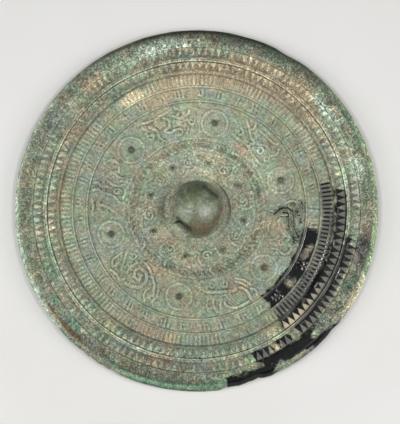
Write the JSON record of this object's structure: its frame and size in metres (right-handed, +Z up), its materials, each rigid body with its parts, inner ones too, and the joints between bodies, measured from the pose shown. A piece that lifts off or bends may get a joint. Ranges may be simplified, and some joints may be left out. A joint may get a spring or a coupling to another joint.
{
  "type": "ancient bronze mirror",
  "caption": "Cast bronze disc mirror with its decorated back up: pierced domed knob, low relief in rings, sawtooth and comb bands, raised plain bevelled rim, slightly convex face below",
  "frame": {"origin": "centre of the small flat spot at the middle of the convex polished face, on the surface that the mirror lies on", "axes": "+Z up, out of the decorated back; +X along the cord channel through the knob, towards its narrower mouth; +Y completes the right-handed frame"},
  "size_m": [0.21, 0.2098, 0.0141],
  "materials": {
    "bronze": "high-tin bronze under a mottled grey-green crust with tan and turquoise patches, and bare glossy black where the crust has come off"
  },
  "bodies": {
    "root": {"bronze_mirror": "bronze"}
  },
  "joints": []
}
